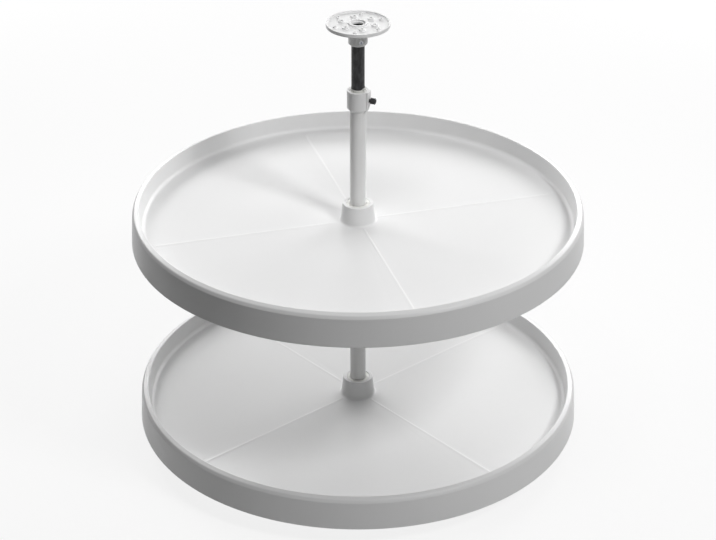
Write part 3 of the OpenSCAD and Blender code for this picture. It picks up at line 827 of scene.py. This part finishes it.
class TURNTABLE_OT_thumb_screw(bpy.types.Operator):
    """Model the thumb screw, with its thread, its knurled head and the turned recess in its end"""
    bl_idname = "turntable.thumb_screw"
    bl_label = "Thumb screw"

    def execute(self, context):
        s = context.scene.turntable_clamp
        screw = turned("thumb_screw", self.section(s), steps=4 * s.knurls)
        self.knurl(s, screw)
        screw.rotation_euler = (0, math.pi / 2, s.direction)
        screw.location.z = middle_height("clamp_nut")
        dress(settle(screw), "thumb_screw", "zinc_steel", finish("oxide"), "clamp_screw")
        return {"FINISHED"}

    def section(self, s):
        """Give half of the screw's section, upright, from the tip of its thread to the end of its head."""
        tip, head = s.bore + 0.3 * MM, s.boss_reach + s.neck
        end = head + s.head_length
        root = s.thread_radius - 0.55 * s.thread_pitch
        lead_in, run_out = 0.4 * MM, 1 * MM
        corners = [(0, tip, 0), (root, tip, 0)]
        for i in range(int((head - tip - run_out) / s.thread_pitch)):
            at = tip + lead_in + i * s.thread_pitch
            corners += [(root, at, 0), (s.thread_radius, at + 0.4 * s.thread_pitch, 0),
                        (s.thread_radius, at + 0.6 * s.thread_pitch, 0)]
        recess, depth = 0.55 * s.head_radius, 1 * MM
        near_chamfer, far_chamfer = 0.8 * MM, 1 * MM
        return corners + [
            (root, head, 0),
            (s.head_radius - near_chamfer, head, 0.3 * MM),
            (s.head_radius, head + near_chamfer, 0.3 * MM),
            (s.head_radius, end - far_chamfer, 0.4 * MM),
            (s.head_radius - far_chamfer, end, 0.4 * MM),
            (recess, end, 0.2 * MM),
            (recess, end - depth, 0.2 * MM),
            (0, end - depth, 0)]

    def knurl(self, s, screw):
        """Sink the grooves into the head, two faces wide in every four."""
        faces = 4 * s.knurls

        def grooved(middle, normal):
            around = math.atan2(middle.y, middle.x) / math.tau % 1
            on_head = abs(normal.z) < 0.3 and radius_of(middle) > s.head_radius - 0.1 * MM
            return on_head and int(around * faces) % 4 < 2

        edit(screw)
        pick("FACE", grooved)
        bpy.ops.mesh.inset(thickness=0.12 * MM, use_even_offset=True)
        bpy.ops.transform.shrink_fatten(value=-0.45 * MM)
        close_seams()


class TURNTABLE_OT_flanges(bpy.types.Operator):
    """Model the two fixing flanges, each with its socket, rim, bosses and screw holes"""
    bl_idname = "turntable.flanges"
    bl_label = "Flanges"

    def execute(self, context):
        s, post = context.scene.turntable_flange, context.scene.turntable_post
        self.model(s, "floor_flange", "bottom_flange", post.post_radius, post.post_wall, s.floor_height, 1)
        self.model(s, "ceiling_flange", "top_flange", post.mast_radius, post.mast_wall, s.ceiling_height, -1)
        return {"FINISHED"}

    def model(self, s, name, node, tube, wall, height, way):
        """Model one flange from its fixing face, with its socket up (1) or down (-1)."""
        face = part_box(node)[0 if way == 1 else 1].z
        section = self.section(s, tube, wall, height)
        flange = turned(name, [(radius, face + way * depth, rounding) for radius, depth, rounding in section],
                        steps=160)
        rows = ((s.hole_circle, s.hole_radius, 0.0), (s.pilot_circle, s.pilot_radius, s.pilot_turn))
        boss_height = s.thickness - 1 * MM
        for circle, hole, extra in rows:
            place = outward(s.hole_turn + extra, circle) + UP * (face + way * boss_height / 2)
            boss = rod("boss", place, 2 * hole, boss_height)
            edit(boss)
            pick("EDGE", lambda middle, along: abs(middle.z - face) < SAME_PLACE)
            bpy.ops.mesh.bevel(offset=0.5 * MM, segments=3)
            done()
            combine(flange, repeat_round(boss, s.holes), "UNION")
        for circle, hole, extra in rows:
            place = outward(s.hole_turn + extra, circle) + UP * (face + way * s.thickness / 2)
            combine(flange, repeat_round(rod("drill", place, hole, 3 * s.thickness), s.holes), "DIFFERENCE")
        # the countersinks widen towards the socket's side
        place = outward(s.hole_turn, s.hole_circle) + UP * (face + way * s.thickness)
        low_radius, high_radius = (s.hole_radius, 2 * s.hole_radius)[::way]
        sink = rod("sink", place, low_radius, s.hole_radius, high_radius)
        combine(flange, repeat_round(sink, s.holes), "DIFFERENCE")
        low, high = sorted((face - way * SPARE, face + way * s.dish))
        notch = block("notch", (s.radius - s.rim - SPARE, -s.notch / 2, low),
                      (s.radius + SPARE, s.notch / 2, high))
        combine(flange, notch, "DIFFERENCE")
        place = outward(s.screw_turn, tube + s.socket_wall) + UP * middle_height(node + "_screw")
        screw_hole = 3.05 * MM
        screw_way = rod("screw_way", place, screw_hole, 2.5 * s.socket_wall, direction=s.screw_turn)
        combine(flange, screw_way, "DIFFERENCE")
        dress(flange, "post" if way == 1 else "mast", "white_polymer", finish("moulding"), node)

    def section(self, s, tube, wall, height):
        """Give half of a flange's section, with each height counted from the fixing face."""
        bore, seat = tube + FIT, s.recess + s.ledge
        socket, stop = bore + s.socket_wall, tube - wall - 0.5 * MM
        return [
            (stop, s.recess, 0),
            (tube + 1 * MM, s.recess, 0.3 * MM),
            (tube + 1 * MM, 0, 0.4 * MM),
            (socket, 0, 0.4 * MM),
            (socket, s.dish, 0.5 * MM),
            (s.radius - s.rim, s.dish, 0.5 * MM),
            (s.radius - s.rim, 0, 0.4 * MM),
            (s.radius, 0, 0.4 * MM),
            (s.radius, s.thickness, 1 * MM),
            (socket, s.thickness, 2 * MM),
            (socket, height - s.socket_chamfer, 0.4 * MM),
            (socket - s.socket_chamfer, height, 0.4 * MM),
            (bore, height, 0),
            (bore, seat, 0),
            (stop, seat, 0)]


class TURNTABLE_OT_hidden_pieces(bpy.types.Operator):
    """Give their finishes to the small CAD pieces that stay as they are"""
    bl_idname = "turntable.hidden_pieces"
    bl_label = "Hidden pieces"

    def execute(self, context):
        kept = {
            "nylon": ("lower_washer", "upper_washer", "lower_bottom_bushing", "upper_bottom_bushing",
                      "mast_guide"),
            "zinc": ("clamp_nut", "support_collar", "bottom_flange_screw", "top_flange_screw"),
            "oxide": ("support_collar_screw",),
        }
        for name, nodes in kept.items():
            for node in nodes:
                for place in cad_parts[node].material_slots:
                    place.material = finish(name)
        return {"FINISHED"}


# ---------------------------------------------------------------- stage

class TURNTABLE_OT_stage(bpy.types.Operator):
    """Set the camera at the photograph's angle, the soft studio lamps and the pale floor"""
    bl_idname = "turntable.stage"
    bl_label = "Stage"

    def execute(self, context):
        s = context.scene.turntable_stage
        scene = context.scene
        scene.view_settings.view_transform = "Standard"
        camera = bpy.data.objects.new("Camera", bpy.data.cameras.new("Camera"))
        camera.data.lens, camera.data.sensor_width = s.lens, s.sensor
        camera.location, camera.rotation_euler = s.camera_place, (s.camera_pitch, 0, 0)
        scene.collection.objects.link(camera)
        scene.camera = camera
        self.light_world(scene, s)
        self.lay_floor(s)
        middle = Vector((0, 0, 0.3))  # what the lamps point at
        # power, directions round and above in degrees, and distance, width and depth in metres
        for name, power, around, above, away, width, depth in (
                ("Key", s.key, -43, 45, 3.0, 0.6, 0.6),
                ("High", s.high, -100, 76, 1.34, 0.3, 0.3),
                ("Back", s.back, 90, 22, 3.2, 3.0, 0.9),
                ("Back right", s.back_right, 60, 14, 3.0, 1.0, 1.0),
                ("Back left", s.back_left, 120, 14, 3.0, 1.0, 1.0),
                ("Near right", s.near_right, 45, 30, 1.25, 0.4, 0.4),
                ("Near left", s.near_left, 140, 32, 1.25, 0.3, 0.3)):
            lamp = bpy.data.lights.new(name, "AREA")
            lamp.energy, lamp.shape, lamp.size, lamp.size_y = power, "RECTANGLE", width, depth
            holder = bpy.data.objects.new(name, lamp)
            around, above = math.radians(around), math.radians(above)
            out = outward(around, math.cos(above)) + UP * math.sin(above)
            holder.location = middle + away * out
            holder.rotation_euler = out.to_track_quat("Z", "Y").to_euler()
            holder.visible_camera = False
            scene.collection.objects.link(holder)
        return {"FINISHED"}

    def light_world(self, scene, s):
        """Show a white world to the camera and in reflections, and light the rest with a dimmer even one."""
        world = bpy.data.worlds.new("Studio")
        world.use_nodes = True
        scene.world = world
        tree = world.node_tree
        seen = seen_directly(tree)
        strength = add_node(tree, "ShaderNodeMix", {"data_type": "FLOAT", 2: s.sky, 3: 1.0}, {0: seen})
        tree.nodes["Background"].inputs["Color"].default_value = (1, 1, 1, 1)
        feed(tree, tree.nodes["Background"], {"Strength": strength.outputs[0]})

    def lay_floor(self, s):
        """Lay a wide floor that the camera sees nearly white, with the object's shadow left in it."""
        deselect()
        bpy.ops.mesh.primitive_plane_add(size=14.0)
        floor = bpy.context.object
        floor.name = floor.data.name = "studio_floor"
        material = bpy.data.materials.new("Studio floor, matt paper")
        material.use_nodes = True
        tree = material.node_tree
        tree.nodes.remove(tree.nodes["Principled BSDF"])
        seen = seen_directly(tree)
        place = add_node(tree, "ShaderNodeTexCoord", {}, {}).outputs["Object"]
        # paper fibres of about 2 mm
        fibre = add_node(tree, "ShaderNodeTexNoise", {"Scale": 1 / (2 * MM), "Detail": 2.0},
                         {"Vector": place})
        reach = add_node(tree, "ShaderNodeVectorMath", {"operation": "LENGTH"}, {0: place}).outputs["Value"]
        beyond = add_node(tree, "ShaderNodeMapRange",
                          {"From Min": 0.9 * s.sheet_radius, "From Max": 1.1 * s.sheet_radius},
                          {"Value": reach})
        bounce = add_node(tree, "ShaderNodeMix",
                          {"data_type": "RGBA", 6: (*s.floor_sheet, 1), 7: (*s.floor_far, 1)},
                          {0: beyond.outputs["Result"]})
        colour = add_node(tree, "ShaderNodeMix", {"data_type": "RGBA", 7: (*s.floor_colour, 1)},
                          {0: seen, 6: bounce.outputs[2]})
        paper = add_node(tree, "ShaderNodeMix", {"data_type": "RGBA", "blend_type": "MULTIPLY", 0: 0.02},
                         {6: colour.outputs[2], 7: fibre.outputs["Color"]})
        matt = add_node(tree, "ShaderNodeBsdfDiffuse", {}, {"Color": paper.outputs[2]})
        glow = add_node(tree, "ShaderNodeEmission", {"Color": (1, 1, 1, 1), "Strength": 1.0}, {})
        share = add_node(tree, "ShaderNodeMath", {"operation": "MULTIPLY", 1: s.floor_glow}, {0: seen})
        mixed = add_node(tree, "ShaderNodeMixShader", {},
                         {0: share.outputs[0], 1: matt.outputs[0], 2: glow.outputs[0]})
        feed(tree, tree.nodes["Material Output"], {"Surface": mixed.outputs[0]})
        floor.data.materials.append(material)
        deselect()


def seen_directly(tree):
    """Give 1 for rays from the camera, from gloss and through glass, and 0 for light between surfaces."""
    path = add_node(tree, "ShaderNodeLightPath", {}, {})
    first = add_node(tree, "ShaderNodeMath", {"operation": "MAXIMUM"},
                     {0: path.outputs["Is Camera Ray"], 1: path.outputs["Is Glossy Ray"]})
    return add_node(tree, "ShaderNodeMath", {"operation": "MAXIMUM"},
                    {0: first.outputs[0], 1: path.outputs["Is Transmission Ray"]}).outputs[0]


# ---------------------------------------------------------------- add-on

class TURNTABLE_PT_sidebar(bpy.types.Panel):
    """Pieces and settings of the turntable"""
    bl_label = "Pantry turntable"
    bl_idname = "TURNTABLE_PT_sidebar"
    bl_space_type = "VIEW_3D"
    bl_region_type = "UI"
    bl_category = "Turntable"

    def draw(self, context):
        for operator in OPERATORS:
            self.layout.operator(operator.bl_idname)
        for attribute, group in GROUPS.items():
            box = self.layout.box()
            box.label(text=group.__doc__)
            for setting in group.__annotations__:
                box.prop(getattr(context.scene, attribute), setting)


GROUPS = {
    "turntable_tray": TraySettings,
    "turntable_bushing": BushingSettings,
    "turntable_post": PostSettings,
    "turntable_clamp": ClampSettings,
    "turntable_flange": FlangeSettings,
    "turntable_finish": FinishSettings,
    "turntable_stage": StageSettings,
}

OPERATORS = (
    TURNTABLE_OT_trays,
    TURNTABLE_OT_hub_bushings,
    TURNTABLE_OT_tubes,
    TURNTABLE_OT_clamp_collar,
    TURNTABLE_OT_pressure_pad,
    TURNTABLE_OT_thumb_screw,
    TURNTABLE_OT_flanges,
    TURNTABLE_OT_hidden_pieces,
    TURNTABLE_OT_stage,
)


def register():
    """Register the settings, the operators and the panel."""
    for attribute, group in GROUPS.items():
        bpy.utils.register_class(group)
        setattr(bpy.types.Scene, attribute, bpy.props.PointerProperty(type=group))
    for operator in OPERATORS:
        bpy.utils.register_class(operator)
    bpy.utils.register_class(TURNTABLE_PT_sidebar)


def unregister():
    """Take away the panel, the operators and the settings."""
    bpy.utils.unregister_class(TURNTABLE_PT_sidebar)
    for operator in reversed(OPERATORS):
        bpy.utils.unregister_class(operator)
    for attribute, group in GROUPS.items():
        delattr(bpy.types.Scene, attribute)
        bpy.utils.unregister_class(group)


def main():
    register()
    bpy.ops.turntable.trays()
    bpy.ops.turntable.hub_bushings()
    bpy.ops.turntable.tubes()
    bpy.ops.turntable.clamp_collar()
    bpy.ops.turntable.pressure_pad()
    bpy.ops.turntable.thumb_screw()
    bpy.ops.turntable.flanges()
    bpy.ops.turntable.hidden_pieces()
    bpy.ops.turntable.stage()


if __name__ == "__main__":
    main()
